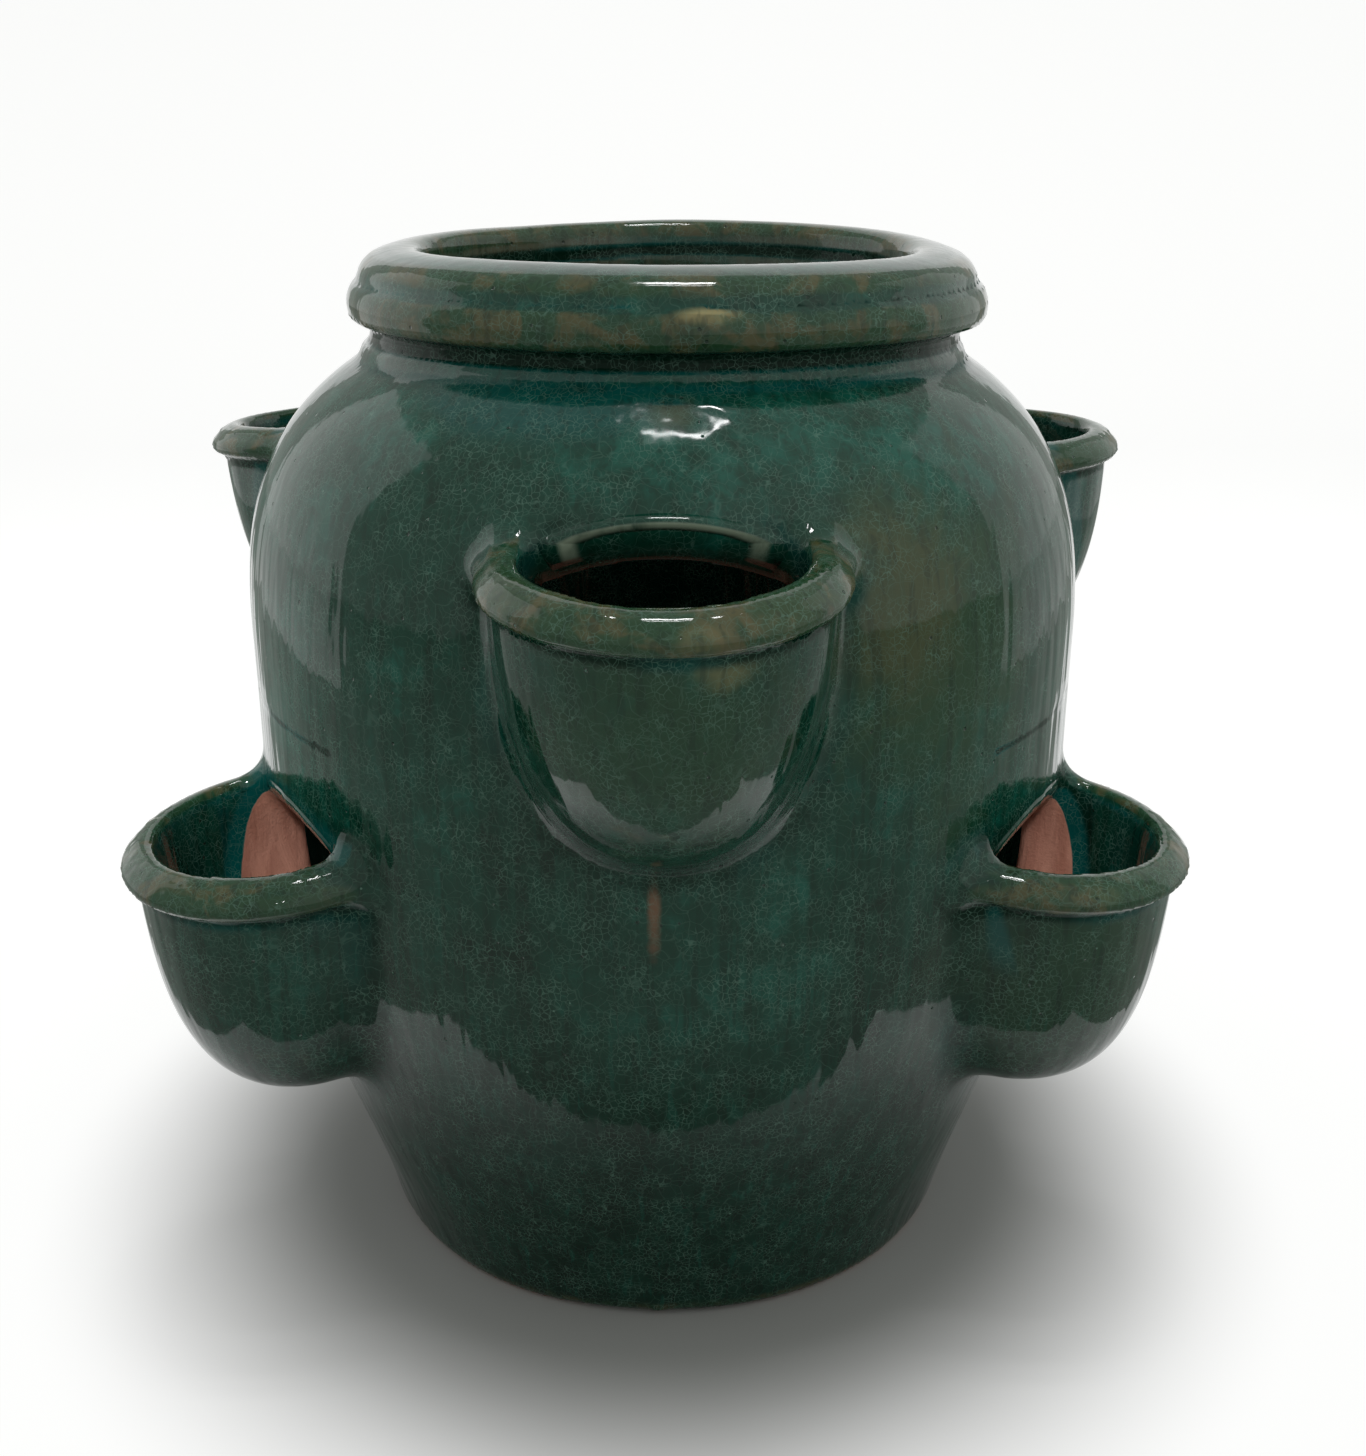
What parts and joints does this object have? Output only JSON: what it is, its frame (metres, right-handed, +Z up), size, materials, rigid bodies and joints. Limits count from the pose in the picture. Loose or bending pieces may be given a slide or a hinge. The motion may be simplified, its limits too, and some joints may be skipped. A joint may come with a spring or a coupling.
{
  "type": "strawberry jar planter",
  "caption": "Barrel-shaped glazed jar with a rolled rim, a short neck and two staggered rings of cupped planting pockets, each opening through the wall, and a drain hole.",
  "frame": {"origin": "centre of the foot, on the ground", "axes": "+Z up through the mouth, -Y towards the front upper pocket, +X to the right of it"},
  "size_m": [0.317, 0.3512, 0.318],
  "materials": {
    "green_glaze": "gloss crackle glaze, dark green",
    "olive_glaze": "gloss glaze broken to olive brown where it is thin",
    "teal_glaze": "gloss glaze pooled to deep teal",
    "bare_terracotta": "matt unglazed fired clay"
  },
  "bodies": {
    "root": {"base_slab": "bare_terracotta", "wall_left": "green_glaze", "wall_right": "green_glaze", "neck_collar": "green_glaze", "rim_roll": "olive_glaze", "bowl_upper_front": "green_glaze", "bowl_upper_right": "green_glaze", "bowl_upper_left": "green_glaze", "bowl_lower_right": "green_glaze", "bowl_lower_back": "green_glaze", "bowl_lower_left": "green_glaze", "lip_upper_front": "olive_glaze", "lip_upper_right": "olive_glaze", "lip_upper_left": "olive_glaze", "lip_lower_right": "olive_glaze", "lip_lower_back": "olive_glaze", "lip_lower_left": "olive_glaze", "coil_upper_front": "teal_glaze", "coil_upper_right": "teal_glaze", "coil_upper_left": "teal_glaze", "coil_lower_right": "teal_glaze", "coil_lower_back": "teal_glaze", "coil_lower_left": "teal_glaze"}
  },
  "joints": []
}
